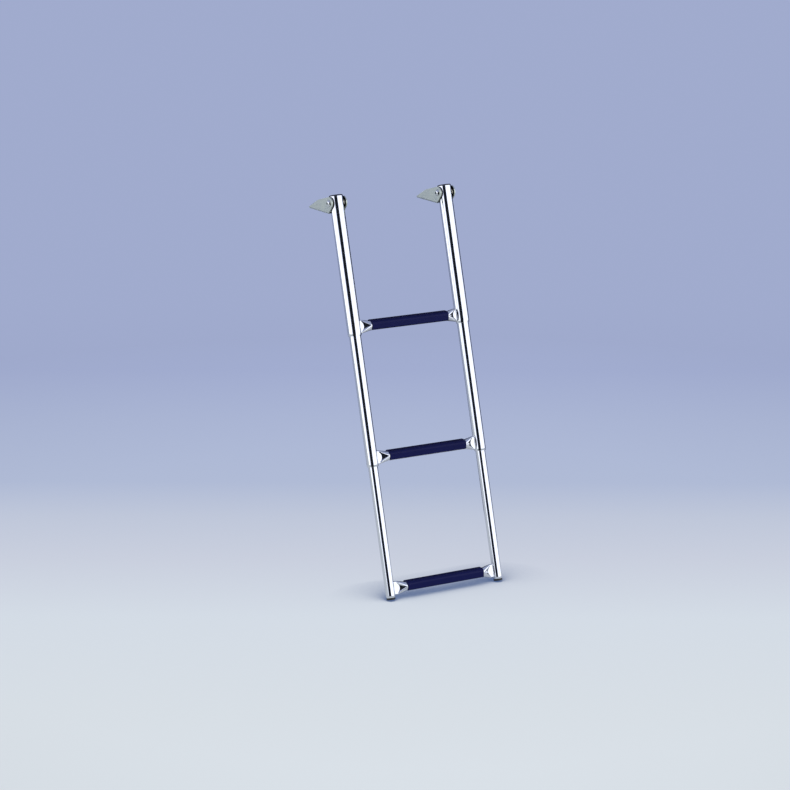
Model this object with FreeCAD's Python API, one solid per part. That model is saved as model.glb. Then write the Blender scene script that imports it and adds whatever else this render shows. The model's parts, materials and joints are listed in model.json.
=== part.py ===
import FreeCAD, Part
import math
import os

from FreeCAD import Placement, Rotation, Vector

# Telescopic swim ladder: three nested pairs of stainless tubes, each pair joined
# by a step, hung from two hinge brackets that screw to a boat's swim platform.
#
# Frame: +X across the ladder, +Y inboard over the platform, +Z up. The origin is
# the centre of the left bracket's base, on the plane that rests on the platform.
# Modelled hanging and drawn out, as it is climbed. Lengths in mm, angles in degrees.

# Driving dimensions: the ladder
rail_spacing = 289.0
lean_angle = 15.7
outer_tube_od = 31.8
tube_wall = 1.2
nesting_gap = 1.2
slide_clearance = 0.3

top_above_pivot = 14.5
outer_tube_length = 323.0
step_pitch = 302.0
step_above_tube_end = 20.0
nested_length = 45.0
lip_length = 5.0
lip_round = 0.5
guide_bush_length = 20.0

# Driving dimensions: caps and feet
cap_height = 3.3
cap_edge_round = 2.6
cap_plug_length = 6.5
foot_height = 5.0
foot_edge_round = 2.0
foot_inset = 0.8
foot_plug_length = 15.0
plug_clearance = 0.1

# Driving dimensions: steps
step_tube_od = 22.2
step_tube_wall = 1.2
crushed_thickness = 5.4
crushed_flat_length = 3.0
tread_length = 203.0
tread_depth = 26.0
tread_crown = 2.0
tread_skirt = 8.0
tread_top_round = 8.0
tread_lower_round = 4.0
groove_count = 5
groove_pitch = 4.0
groove_radius = 0.9

# Driving dimensions: hinge brackets
pivot_height = 26.0
bracket_plate = 2.5
bracket_bend_radius = 1.5
bracket_side_gap = 1.5
ear_nose_radius = 14.0
ear_toe_setback = 4.0
ear_back_reach = 97.0
ear_tip_height = 4.0
ear_crest_reach = 54.0
ear_crest_height = 26.0
ear_crest_round = 25.0
ear_tip_round = 1.5
ear_toe_round = 1.5
stop_gap = 0.3
screw_hole_radius = 3.3
screw_spacing = 50.0

# Driving dimensions: pivots
bolt_diameter = 8.0
bolt_hole_clearance = 0.2
sleeve_wall = 2.0
sleeve_running_clearance = 0.08
sleeve_end_gap = 0.3
bolt_head_diameter = 15.0
bolt_head_height = 5.4
bolt_socket_across_flats = 5.0
bolt_socket_depth = 2.6
nut_across_flats = 13.0
nut_hex_height = 4.0
nut_collar_height = 1.0
nut_collar_diameter = 10.6
bolt_thread_stand_out = 0.4

ACROSS = Vector(1, 0, 0)
UP = Vector(0, 0, 1)

# Sizes that follow from the driving dimensions
tube_step = 2.0 * (tube_wall + nesting_gap)
middle_tube_od = outer_tube_od - tube_step
inner_tube_od = middle_tube_od - tube_step
outer_tube_end = top_above_pivot - outer_tube_length
middle_tube_end = outer_tube_end - step_pitch
inner_tube_end = middle_tube_end - step_pitch
stop_collar_length = nested_length - lip_length - guide_bush_length - slide_clearance
ear_gap = outer_tube_od + 2.0 * bracket_side_gap
bracket_width = ear_gap + 2.0 * bracket_plate
ear_top_height = pivot_height + ear_nose_radius

# Where the leaning tube's back crosses the base plate, the plate's edge stops it
lean = math.radians(lean_angle)
stop_drop = (pivot_height - outer_tube_od / 2.0 * math.sin(lean) - bracket_plate) / math.cos(lean)
base_front = outer_tube_od / 2.0 * math.cos(lean) - stop_drop * math.sin(lean) + stop_gap
base_middle = (base_front + ear_back_reach) / 2.0
pivot = Vector(0.0, -base_middle, pivot_height)

os.makedirs("parts", exist_ok=True)


def save(shape, node):
    """Write one piece as parts/NODE.step."""
    shape.exportStep("parts/" + node + ".step")


def on_ladder(shape):
    """Place a piece drawn about the pivot, +Z up the rails, on the leaning ladder."""
    tilt = Rotation(ACROSS, -lean_angle)
    placed = shape.copy()
    placed.Placement = Placement(pivot, tilt).multiply(placed.Placement)
    return placed


def level_on_ladder(shape, height):
    """Place a piece that stays level, drawn about a point this far up the rails."""
    centre = Placement(pivot, Rotation(ACROSS, -lean_angle)).multVec(Vector(0, 0, height))
    placed = shape.copy()
    placed.Placement = Placement(centre, Rotation()).multiply(placed.Placement)
    return placed


def turned(profile):
    """Revolve an outline of (radius, height) points about the rail axis."""
    points = [Vector(radius, 0, height) for radius, height in profile]
    wire = Part.makePolygon(points + [points[0]])
    return Part.Face(wire).revolve(Vector(), UP, 360)


def rounded_outline(corners):
    """Closed wire in the YZ plane through (y, z, radius) corners, with tangent arcs."""
    starts = []
    arcs = []
    count = len(corners)
    for index in range(count):
        y, z, radius = corners[index]
        here = Vector(0, y, z)
        before = Vector(0, corners[index - 1][0], corners[index - 1][1])
        after = Vector(0, corners[(index + 1) % count][0], corners[(index + 1) % count][1])
        back = (before - here).normalize()
        ahead = (after - here).normalize()
        half_turn = back.getAngle(ahead) / 2.0
        reach = radius / math.tan(half_turn)
        inward = (back + ahead).normalize()
        crown = here + inward * (radius / math.sin(half_turn) - radius)
        starts.append((here + back * reach, here + ahead * reach))
        arcs.append(Part.Arc(starts[-1][0], crown, starts[-1][1]).toShape())
    edges = []
    for index in range(count):
        edges.append(arcs[index])
        edges.append(Part.LineSegment(starts[index][1], starts[(index + 1) % count][0]).toShape())
    return Part.Wire(edges)


def prism(wire, x, length):
    """Extrude a closed outline in the YZ plane from x along +X."""
    solid = Part.Face(wire).extrude(Vector(length, 0, 0))
    solid.translate(Vector(x, 0, 0))
    return solid


def hexagon(across_flats, x, length):
    """Hexagonal bar about the X axis."""
    reach = across_flats / 2.0 / math.cos(math.pi / 6.0)
    points = []
    for index in range(7):
        turn = index * math.pi / 3.0
        points.append(Vector(0, reach * math.cos(turn), reach * math.sin(turn)))
    return prism(Part.makePolygon(points), x, length)


def rail_tube(od, low_end, high_end, lip_bore):
    """Tube with its lower end rolled in to lip_bore, or cut square where that is None."""
    outer = od / 2.0
    inner = outer - tube_wall
    if lip_bore is None:
        profile = [(inner, low_end), (outer, low_end), (outer, high_end), (inner, high_end)]
        return turned(profile)
    bore = lip_bore / 2.0
    shoulder = low_end + lip_length
    profile = [
        (bore, low_end),
        (bore + tube_wall - lip_round, low_end),
        (bore + tube_wall, low_end + lip_round),
        (outer, shoulder),
        (outer, high_end),
        (inner, high_end),
        (inner, shoulder),
        (bore, low_end + lip_round),
    ]
    return turned(profile)


def sleeve(inner_radius, outer_radius, low, high):
    """Plain ring about the rail axis."""
    return turned([(inner_radius, low), (outer_radius, low), (outer_radius, high), (inner_radius, high)])


def guide_bush(tube_od, sliding_od, tube_end):
    """Plastic ring on the rolled lip, in which the next tube slides."""
    low = tube_end + lip_length
    bore = sliding_od / 2.0 + slide_clearance
    return sleeve(bore, tube_od / 2.0 - tube_wall, low, low + guide_bush_length)


def stop_collar(tube_od, outer_od, tube_top):
    """Ring fixed round the top of a sliding tube, which comes down on the guide bush."""
    outer = outer_od / 2.0 - tube_wall - slide_clearance
    return sleeve(tube_od / 2.0, outer, tube_top - stop_collar_length, tube_top)


def top_cap():
    """Domed plastic cap with a plug inside the outer tube."""
    outer = outer_tube_od / 2.0
    plug = outer - tube_wall - plug_clearance
    seat = top_above_pivot
    crown = seat + cap_height
    disc = Part.makeCylinder(outer, cap_height, Vector(0, 0, seat), UP)
    rim = [edge for edge in disc.Edges if abs(edge.CenterOfMass.z - crown) < 0.01]
    disc = disc.makeFillet(cap_edge_round, rim)
    return disc.fuse(Part.makeCylinder(plug, cap_plug_length, Vector(0, 0, seat - cap_plug_length), UP))


def foot_plug():
    """Plastic foot pressed into the lower end of the inner tube, its pad inside the tube's outline."""
    outer = inner_tube_od / 2.0
    plug = outer - tube_wall - plug_clearance
    sole = inner_tube_end - foot_height
    pad = Part.makeCylinder(outer - foot_inset, foot_height, Vector(0, 0, sole), UP)
    rim = [edge for edge in pad.Edges if abs(edge.CenterOfMass.z - sole) < 0.01]
    pad = pad.makeFillet(foot_edge_round, rim)
    return pad.fuse(Part.makeCylinder(plug, foot_plug_length, Vector(0, 0, inner_tube_end), UP))


def half_ring_edge(x, radius, offset, side):
    """Semicircle facing up (side 1) or down (side -1), its centre offset from the axis."""
    front = Vector(x, -radius, side * offset)
    crown = Vector(x, 0, side * (offset + radius))
    back = Vector(x, radius, side * offset)
    return Part.Arc(front, crown, back).toShape()


def crushed_end(round_x, flat_x, root_x, round_radius, flat_radius):
    """Solid end of a round bar pinched flat: two conical sides and a triangle each face.

    The half girth stays the same, so the flat end stands taller than the bar.
    """
    rise = math.pi * (round_radius - flat_radius) / 2.0
    faces = []
    for side in (1, -1):
        full = half_ring_edge(round_x, round_radius, 0.0, side)
        thin = half_ring_edge(flat_x, flat_radius, rise, side)
        faces.append(Part.makeRuledSurface(full, thin))
    for depth in (-1, 1):
        apex = Vector(round_x, depth * round_radius, 0)
        top = Vector(flat_x, depth * flat_radius, rise)
        low = Vector(flat_x, depth * flat_radius, -rise)
        faces.append(Part.Face(Part.makePolygon([apex, top, low, apex])))
    full_rim = [half_ring_edge(round_x, round_radius, 0.0, side) for side in (1, -1)]
    faces.append(Part.Face(Part.Wire(full_rim)))
    flat_rim = [half_ring_edge(flat_x, flat_radius, rise, side) for side in (1, -1)]
    for depth in (-1, 1):
        top = Vector(flat_x, depth * flat_radius, rise)
        low = Vector(flat_x, depth * flat_radius, -rise)
        flat_rim.append(Part.makeLine(top, low))
    flat_face = Part.Face(Part.Wire(Part.__sortEdges__(flat_rim)))
    faces.append(flat_face)
    shell = Part.makeShell(faces)
    shell.sewShape()
    taper = Part.makeSolid(shell)
    if taper.Volume < 0:
        taper.reverse()
    tongue = flat_face.extrude(Vector(root_x - flat_x, 0, 0))
    if tongue.Volume < 0:
        tongue.reverse()
    return taper.fuse(tongue)


def crushed_bar(rail_od, radius, flat_radius):
    """Round bar across the ladder with both ends pinched flat, running to the rail axes."""
    left_face = rail_od / 2.0
    right_face = rail_spacing - rail_od / 2.0
    tread_left = (rail_spacing - tread_length) / 2.0
    tread_right = rail_spacing - tread_left
    left = crushed_end(tread_left, left_face + crushed_flat_length, 0.0, radius, flat_radius)
    right = crushed_end(tread_right, right_face - crushed_flat_length, rail_spacing, radius, flat_radius)
    middle = Part.makeCylinder(radius, tread_length, Vector(tread_left, 0, 0), ACROSS)
    return left.fuse(middle).fuse(right)


def step_tube(rail_od, height):
    """Step tube with crushed ends, coped round the rails that it is welded to."""
    radius = step_tube_od / 2.0
    flat_radius = crushed_thickness / 2.0
    bar = crushed_bar(rail_od, radius, flat_radius)
    hollow = crushed_bar(rail_od, radius - step_tube_wall, flat_radius - step_tube_wall)
    tube = bar.cut(hollow)
    for x in (0.0, rail_spacing):
        foot = Vector(x, 0, -2.0 * step_tube_od)
        tube = tube.cut(Part.makeCylinder(rail_od / 2.0, 4.0 * step_tube_od, foot, UP))
    tube.translate(Vector(0, 0, height))
    return tube


def tread():
    """Level plastic tread that clips down over the step tube, grooved along its top."""
    radius = step_tube_od / 2.0
    front = tread_depth / 2.0
    top = radius + tread_crown
    outline = rounded_outline([
        (-front, -tread_skirt, tread_lower_round),
        (front, -tread_skirt, tread_lower_round),
        (front, top, tread_top_round),
        (-front, top, tread_top_round),
    ])
    left = (rail_spacing - tread_length) / 2.0
    body = prism(outline, left, tread_length)
    body = body.cut(Part.makeCylinder(radius, tread_length, Vector(left, 0, 0), ACROSS))
    for index in range(groove_count):
        y = (index - (groove_count - 1) / 2.0) * groove_pitch
        past_flat = max(0.0, abs(y) - (front - tread_top_round))
        fall = tread_top_round - math.sqrt(tread_top_round ** 2 - past_flat ** 2)
        start = Vector(left, y, top - fall)
        body = body.cut(Part.makeCylinder(groove_radius, tread_length, start, ACROSS))
    return body


def outer_tube():
    """Top rail tube, drilled through for the pivot sleeve."""
    lip_bore = middle_tube_od + 2.0 * slide_clearance
    tube = rail_tube(outer_tube_od, outer_tube_end, top_above_pivot, lip_bore)
    drill = Part.makeCylinder(sleeve_radius(), 2.0 * outer_tube_od, Vector(-outer_tube_od, 0, 0), ACROSS)
    return tube.cut(drill)


def sleeve_radius():
    """Outside radius of the pivot sleeve, which fills the hole in the tube."""
    return bolt_diameter / 2.0 + sleeve_running_clearance + sleeve_wall


def pivot_sleeve():
    """Bearing sleeve through the tube, long enough to keep it off the ears."""
    reach = ear_gap / 2.0 - sleeve_end_gap
    body = Part.makeCylinder(sleeve_radius(), 2.0 * reach, Vector(-reach, 0, 0), ACROSS)
    bore = bolt_diameter / 2.0 + sleeve_running_clearance
    return body.cut(Part.makeCylinder(bore, 2.0 * reach, Vector(-reach, 0, 0), ACROSS))


def ear_outline():
    """Side view of an ear: a round nose about the pivot that tapers aft over a crest to a low tip.

    The nose is tangent to the line up from the toe and to the line that falls to the crest.
    """
    toe_angle = math.atan2(-pivot_height, ear_toe_setback) % (2.0 * math.pi)
    toe_touch = toe_angle - math.acos(ear_nose_radius / math.hypot(pivot_height, ear_toe_setback))
    crest_rise = ear_crest_height - pivot_height
    crest_angle = math.atan2(crest_rise, ear_crest_reach)
    crest_touch = crest_angle + math.acos(ear_nose_radius / math.hypot(crest_rise, ear_crest_reach))
    middle = (toe_touch + crest_touch) / 2.0
    corner_distance = ear_nose_radius / math.cos((toe_touch - crest_touch) / 2.0)
    nose_y = corner_distance * math.cos(middle)
    nose_z = pivot_height + corner_distance * math.sin(middle)
    return rounded_outline([
        (ear_toe_setback, 0.0, ear_toe_round),
        (ear_back_reach, 0.0, ear_tip_round),
        (ear_back_reach, ear_tip_height, ear_tip_round),
        (ear_crest_reach, ear_crest_height, ear_crest_round),
        (nose_y, nose_z, ear_nose_radius),
    ])


def bracket():
    """Clevis bracket folded from one plate: a base with two ears that taper aft to low."""
    side_view = prism(ear_outline(), -bracket_width / 2.0, bracket_width)
    start = -ear_nose_radius - bracket_plate
    length = ear_back_reach - start
    half = bracket_width / 2.0
    blank = Part.makeBox(bracket_width, length, ear_top_height, Vector(-half, start, 0))
    lower = [edge for edge in blank.Edges if is_long_lower_edge(edge, length, 0.0)]
    blank = blank.makeFillet(bracket_bend_radius + bracket_plate, lower)
    trough = Part.makeBox(ear_gap, length, ear_top_height, Vector(-ear_gap / 2.0, start, bracket_plate))
    lower = [edge for edge in trough.Edges if is_long_lower_edge(edge, length, bracket_plate)]
    trough = trough.makeFillet(bracket_bend_radius, lower)
    relief = Part.makeBox(ear_gap, base_front - start, ear_top_height, Vector(-ear_gap / 2.0, start, 0))
    body = side_view.common(blank.cut(trough)).cut(relief)
    hole = bolt_diameter / 2.0 + bolt_hole_clearance
    body = body.cut(Part.makeCylinder(hole, bracket_width, Vector(-half, 0, pivot_height), ACROSS))
    for side in (-1, 1):
        place = Vector(0, base_middle + side * screw_spacing / 2.0, 0)
        body = body.cut(Part.makeCylinder(screw_hole_radius, bracket_plate, place, UP))
    body.translate(Vector(0, -base_middle, 0))
    return body


def is_long_lower_edge(edge, length, height):
    """True for an edge as long as the blank that lies at the given height."""
    return abs(edge.Length - length) < 0.01 and abs(edge.CenterOfMass.z - height) < 0.01


def pivot_bolt():
    """Button-head bolt through both ears, its head on the left side."""
    grip = bracket_width / 2.0
    shank_end = grip + nut_hex_height + nut_collar_height + bolt_thread_stand_out
    shank = Part.makeCylinder(bolt_diameter / 2.0, grip + shank_end, Vector(-grip, 0, 0), ACROSS)
    dome_radius = (bolt_head_height ** 2 + (bolt_head_diameter / 2.0) ** 2) / (2.0 * bolt_head_height)
    half_spread = math.asin(bolt_head_diameter / 2.0 / dome_radius) / 2.0
    foot = Vector(-grip, 0, 0)
    rim = Vector(-grip, 0, bolt_head_diameter / 2.0)
    crown = Vector(-grip - bolt_head_height, 0, 0)
    inset = dome_radius * (1.0 - math.cos(half_spread))
    middle = crown + Vector(inset, 0, dome_radius * math.sin(half_spread))
    dome = Part.Arc(rim, middle, crown).toShape()
    outline = Part.Wire([Part.makeLine(foot, rim), dome, Part.makeLine(crown, foot)])
    head = Part.Face(outline).revolve(Vector(), ACROSS, 360)
    socket = hexagon(bolt_socket_across_flats, -grip - bolt_head_height, bolt_socket_depth)
    return at_pivot(shank.fuse(head).cut(socket))


def lock_nut():
    """Hexagon nut with a round locking collar, against the right-hand ear."""
    grip = bracket_width / 2.0
    body = hexagon(nut_across_flats, grip, nut_hex_height)
    collar_start = Vector(grip + nut_hex_height, 0, 0)
    body = body.fuse(Part.makeCylinder(nut_collar_diameter / 2.0, nut_collar_height, collar_start, ACROSS))
    total = nut_hex_height + nut_collar_height
    return at_pivot(body.cut(Part.makeCylinder(bolt_diameter / 2.0, total, Vector(grip, 0, 0), ACROSS)))


def at_pivot(shape):
    """Move a piece drawn about the pivot axis to the pivot."""
    shape.translate(pivot)
    return shape


# Pieces that come in pairs, one for each rail
middle_tube_top = outer_tube_end + nested_length
inner_tube_top = middle_tube_end + nested_length
middle_lip_bore = inner_tube_od + 2.0 * slide_clearance

bracket_pieces = {
    "bracket": bracket(),
    "pivot_bolt": pivot_bolt(),
    "lock_nut": lock_nut(),
}
ladder_pieces = {
    "outer_tube": outer_tube(),
    "top_cap": top_cap(),
    "pivot_sleeve": pivot_sleeve(),
    "upper_guide_bush": guide_bush(outer_tube_od, middle_tube_od, outer_tube_end),
    "middle_tube": rail_tube(middle_tube_od, middle_tube_end, middle_tube_top, middle_lip_bore),
    "middle_stop_collar": stop_collar(middle_tube_od, outer_tube_od, middle_tube_top),
    "lower_guide_bush": guide_bush(middle_tube_od, inner_tube_od, middle_tube_end),
    "inner_tube": rail_tube(inner_tube_od, inner_tube_end, inner_tube_top, None),
    "inner_stop_collar": stop_collar(inner_tube_od, middle_tube_od, inner_tube_top),
    "foot_plug": foot_plug(),
}
for side, x in (("left", 0.0), ("right", rail_spacing)):
    across = Vector(x, 0, 0)
    for name, shape in bracket_pieces.items():
        piece = shape.copy()
        piece.translate(across)
        save(piece, side + "_" + name)
    for name, shape in ladder_pieces.items():
        piece = on_ladder(shape)
        piece.translate(across)
        save(piece, side + "_" + name)

# Steps, each welded between one pair of tubes
steps = (
    ("upper", outer_tube_od, outer_tube_end),
    ("middle", middle_tube_od, middle_tube_end),
    ("lower", inner_tube_od, inner_tube_end),
)
for name, rail_od, tube_end in steps:
    height = tube_end + step_above_tube_end
    save(on_ladder(step_tube(rail_od, height)), name + "_step_tube")
    save(level_on_ladder(tread(), height), name + "_tread")
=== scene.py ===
import json
import logging
import math
from collections.abc import Sequence
from dataclasses import dataclass, field
from enum import Enum

import bmesh
import bpy
from mathutils import Matrix, Vector


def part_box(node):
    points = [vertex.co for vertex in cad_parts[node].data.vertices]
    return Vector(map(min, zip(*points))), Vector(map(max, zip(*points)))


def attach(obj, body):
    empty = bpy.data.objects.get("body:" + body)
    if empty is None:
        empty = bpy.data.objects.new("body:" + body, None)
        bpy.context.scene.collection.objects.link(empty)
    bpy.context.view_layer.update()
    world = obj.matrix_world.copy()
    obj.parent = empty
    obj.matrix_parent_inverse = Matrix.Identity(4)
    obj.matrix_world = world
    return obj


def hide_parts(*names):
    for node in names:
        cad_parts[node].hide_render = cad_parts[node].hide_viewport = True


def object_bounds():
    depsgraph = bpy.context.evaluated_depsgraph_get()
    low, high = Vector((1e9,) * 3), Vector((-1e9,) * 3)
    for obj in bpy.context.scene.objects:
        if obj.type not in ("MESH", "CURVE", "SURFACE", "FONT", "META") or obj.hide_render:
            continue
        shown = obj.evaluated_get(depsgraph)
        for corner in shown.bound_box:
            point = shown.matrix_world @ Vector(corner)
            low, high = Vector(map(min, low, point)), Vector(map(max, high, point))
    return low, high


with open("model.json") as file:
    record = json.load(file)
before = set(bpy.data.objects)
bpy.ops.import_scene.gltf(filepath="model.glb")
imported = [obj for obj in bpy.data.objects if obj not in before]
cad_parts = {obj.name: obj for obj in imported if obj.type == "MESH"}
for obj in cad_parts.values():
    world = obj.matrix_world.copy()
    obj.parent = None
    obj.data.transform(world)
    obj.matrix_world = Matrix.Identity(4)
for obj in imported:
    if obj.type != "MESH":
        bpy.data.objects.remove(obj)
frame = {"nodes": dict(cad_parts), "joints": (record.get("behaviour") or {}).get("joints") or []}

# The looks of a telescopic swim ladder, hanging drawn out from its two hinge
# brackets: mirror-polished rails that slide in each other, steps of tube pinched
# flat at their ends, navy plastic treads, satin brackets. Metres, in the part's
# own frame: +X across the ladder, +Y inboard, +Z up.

log = logging.getLogger("swim_ladder")

MM = 0.001

# The sRGB curve: straight up to its knee, a power above it
SRGB_KNEE, SRGB_SLOPE = 0.04045, 12.92
SRGB_LIFT, SRGB_POWER = 0.055, 2.4

# Nearly all values of a noise texture lie between these two
NOISE_LOW, NOISE_HIGH = 0.3, 0.7

# Corners nearer than this, in millimetres, are one corner
MERGE_DISTANCE = 1e-5
EDGE_SEGMENTS = 3
FLAT_WEIGHT = 80

cad_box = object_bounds()

Point = tuple[float, float]
Corner = tuple[float, float, float]
Colour = tuple[float, float, float, float]


class Side(Enum):
    """The two rails, as seen by a person who climbs."""

    LEFT = "left"
    RIGHT = "right"


class Section(Enum):
    """The three frames that slide in each other."""

    UPPER = "upper"
    MIDDLE = "middle"
    LOWER = "lower"


class Cut(Enum):
    """Ways to combine two solids."""

    AWAY = "DIFFERENCE"
    KEEP_COMMON = "INTERSECT"


def linear(code: str) -> Colour:
    """Turn an sRGB colour into linear light.

    Args:
        code: Colour as "#rrggbb".

    Returns:
        Red, green, blue and an alpha of 1.
    """
    values = []
    for start in (1, 3, 5):
        share = int(code[start:start + 2], 16) / 255.0
        straight = share / SRGB_SLOPE
        curved = ((share + SRGB_LIFT) / (1.0 + SRGB_LIFT)) ** SRGB_POWER
        values.append(straight if share <= SRGB_KNEE else curved)
    return (values[0], values[1], values[2], 1.0)


def add_node(tree: bpy.types.NodeTree, kind: str, inputs: dict | None = None,
             **settings: object) -> bpy.types.Node:
    """Add one node with its settings and links.

    Args:
        tree: Tree that the node joins.
        kind: Type name of the node.
        inputs: Values or output sockets, by the name or number of the input.
        settings: Values of the node's own attributes.

    Returns:
        The new node.
    """
    node = tree.nodes.new(kind)
    for name, value in settings.items():
        setattr(node, name, value)
    for key, value in (inputs or {}).items():
        if isinstance(value, bpy.types.NodeSocket):
            tree.links.new(value, node.inputs[key])
        else:
            node.inputs[key].default_value = value
    return node


def new_material(name: str) -> tuple[bpy.types.Material, bpy.types.NodeTree]:
    """Start a material with an empty node tree.

    Args:
        name: Name of the material.

    Returns:
        The material and its tree.
    """
    material = bpy.data.materials.new(name)
    material.use_nodes = True
    material.node_tree.nodes.clear()
    return material, material.node_tree


def grain(size: float) -> float:
    """Texture scale at which one patch of a pattern is this many millimetres across."""
    return 1.0 / (size * MM)


@dataclass(frozen=True)
class PolishedStainless:
    """Stainless steel tube, drawn, then buffed along its length to a mirror.

    The eye gets crisp black and white stripes along the tube, with hardly any
    blur, and edges of the stripes that waver a little where the buffing wheel
    dwelt.
    """

    name: str = "mirror_buffed_stainless"
    colour: str = "#d6d8da"
    haze: float = 0.045
    haze_spread: float = 0.035
    buff_length: float = 60.0
    buff_width: float = 0.9
    wave_size: float = 45.0
    wave_depth: float = 0.004
    mark_low: float = 0.35
    mark_high: float = 0.75
    lean: float = 0.0

    def material(self) -> bpy.types.Material:
        """Build the finish with its buffing marks along the rails.

        Returns:
            The material.
        """
        material, tree = new_material(self.name)
        where = add_node(tree, "ShaderNodeTexCoord")
        along = add_node(tree, "ShaderNodeMapping", {
            "Vector": where.outputs["Object"], "Rotation": (self.lean, 0.0, 0.0),
            "Scale": (grain(self.buff_width), grain(self.buff_width), grain(self.buff_length))})
        marks = add_node(tree, "ShaderNodeTexNoise", {
            "Vector": along.outputs["Vector"], "Scale": 1.0, "Detail": 3.0, "Roughness": 0.6})
        haze = add_node(tree, "ShaderNodeMapRange", {
            "Value": marks.outputs["Fac"], "From Min": self.mark_low, "From Max": self.mark_high,
            "To Min": self.haze, "To Max": self.haze + self.haze_spread})
        wave = add_node(tree, "ShaderNodeTexNoise", {
            "Vector": where.outputs["Object"], "Scale": grain(self.wave_size), "Detail": 1.0})
        bump = add_node(tree, "ShaderNodeBump", {
            "Height": wave.outputs["Fac"], "Strength": 1.0,
            "Distance": self.wave_depth * MM * self.wave_size})
        shader = add_node(tree, "ShaderNodeBsdfPrincipled", {
            "Base Color": linear(self.colour), "Metallic": 1.0,
            "Roughness": haze.outputs["Result"], "Normal": bump.outputs["Normal"]})
        add_node(tree, "ShaderNodeOutputMaterial", {"Surface": shader.outputs["BSDF"]})
        return material


@dataclass(frozen=True)
class SatinStainless:
    """Stainless steel plate, folded and tumbled to an even satin.

    The eye gets a soft grey sheen with a fine grain and no clear reflection, and a painted shade
    that darkens it where other parts close round it.
    """

    name: str = "tumbled_stainless"
    colour: str = "#c0c6b8"
    roughness: float = 0.34
    roughness_spread: float = 0.12
    grit: float = 0.5
    cloud: float = 14.0
    grit_depth: float = 0.01
    # Painted shade: how far, in millimetres, the occlusion test reaches, the open shares between
    # which the colour goes from the dark to its own, and the dark colour
    painted_shade_reach: float = 14.0
    painted_shade_low: float = 0.4
    painted_shade_high: float = 0.85
    painted_shade_colour: str = "#1c1d1b"

    def material(self) -> bpy.types.Material:
        """Build the finish with its tumbled grain and a painted shade, darker where other parts
        close round it.

        Returns:
            The material.
        """
        material, tree = new_material(self.name)
        where = add_node(tree, "ShaderNodeTexCoord")
        cloud = add_node(tree, "ShaderNodeTexNoise", {
            "Vector": where.outputs["Object"], "Scale": grain(self.cloud), "Detail": 4.0})
        rough = add_node(tree, "ShaderNodeMapRange", {
            "Value": cloud.outputs["Fac"], "From Min": NOISE_LOW, "From Max": NOISE_HIGH,
            "To Min": self.roughness, "To Max": self.roughness + self.roughness_spread})
        grit = add_node(tree, "ShaderNodeTexNoise", {
            "Vector": where.outputs["Object"], "Scale": grain(self.grit), "Detail": 2.0})
        bump = add_node(tree, "ShaderNodeBump", {
            "Height": grit.outputs["Fac"], "Distance": self.grit_depth * MM, "Strength": 1.0})
        # Painted shade: ambient occlusion darkens the colour between the ears and the tube, and
        # round bolt heads and nuts, where shade falls
        closed = add_node(
            tree, "ShaderNodeAmbientOcclusion", {"Distance": self.painted_shade_reach * MM}, samples=8)
        open_share = add_node(tree, "ShaderNodeMapRange", {
            "Value": closed.outputs["AO"],
            "From Min": self.painted_shade_low, "From Max": self.painted_shade_high})
        colour = add_node(tree, "ShaderNodeMix", {
            "Factor": open_share.outputs["Result"],
            "A": linear(self.painted_shade_colour), "B": linear(self.colour)}, data_type="RGBA")
        shader = add_node(tree, "ShaderNodeBsdfPrincipled", {
            "Base Color": colour.outputs["Result"], "Metallic": 1.0,
            "Roughness": rough.outputs["Result"], "Normal": bump.outputs["Normal"]})
        add_node(tree, "ShaderNodeOutputMaterial", {"Surface": shader.outputs["BSDF"]})
        return material


@dataclass(frozen=True)
class MouldedPlastic:
    """Injection-moulded plastic with the fine spark-eroded grain of its mould.

    The eye gets a deep body colour under a soft, slightly broken sheen.
    """

    name: str
    colour: str
    shade: str
    roughness: float
    roughness_spread: float
    index: float
    grit: float
    grit_depth: float
    gloss: float = 0.5
    flow_size: float = 30.0

    def material(self) -> bpy.types.Material:
        """Build the finish with its moulded grain.

        Returns:
            The material.
        """
        material, tree = new_material(self.name)
        where = add_node(tree, "ShaderNodeTexCoord")
        flow = add_node(tree, "ShaderNodeTexNoise", {
            "Vector": where.outputs["Object"], "Scale": grain(self.flow_size), "Detail": 3.0})
        colour = add_node(tree, "ShaderNodeMix", {
            "Factor": flow.outputs["Fac"],
            "A": linear(self.colour), "B": linear(self.shade)}, data_type="RGBA")
        grit = add_node(tree, "ShaderNodeTexNoise", {
            "Vector": where.outputs["Object"], "Scale": grain(self.grit), "Detail": 2.0})
        rough = add_node(tree, "ShaderNodeMapRange", {
            "Value": flow.outputs["Fac"], "From Min": NOISE_LOW, "From Max": NOISE_HIGH,
            "To Min": self.roughness, "To Max": self.roughness + self.roughness_spread})
        bump = add_node(tree, "ShaderNodeBump", {
            "Height": grit.outputs["Fac"], "Distance": self.grit_depth * MM, "Strength": 1.0})
        shader = add_node(tree, "ShaderNodeBsdfPrincipled", {
            "Base Color": colour.outputs["Result"], "Roughness": rough.outputs["Result"],
            "Normal": bump.outputs["Normal"]})
        shader.inputs["IOR"].default_value = self.index
        shader.inputs["Specular IOR Level"].default_value = self.gloss
        add_node(tree, "ShaderNodeOutputMaterial", {"Surface": shader.outputs["BSDF"]})
        return material


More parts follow.
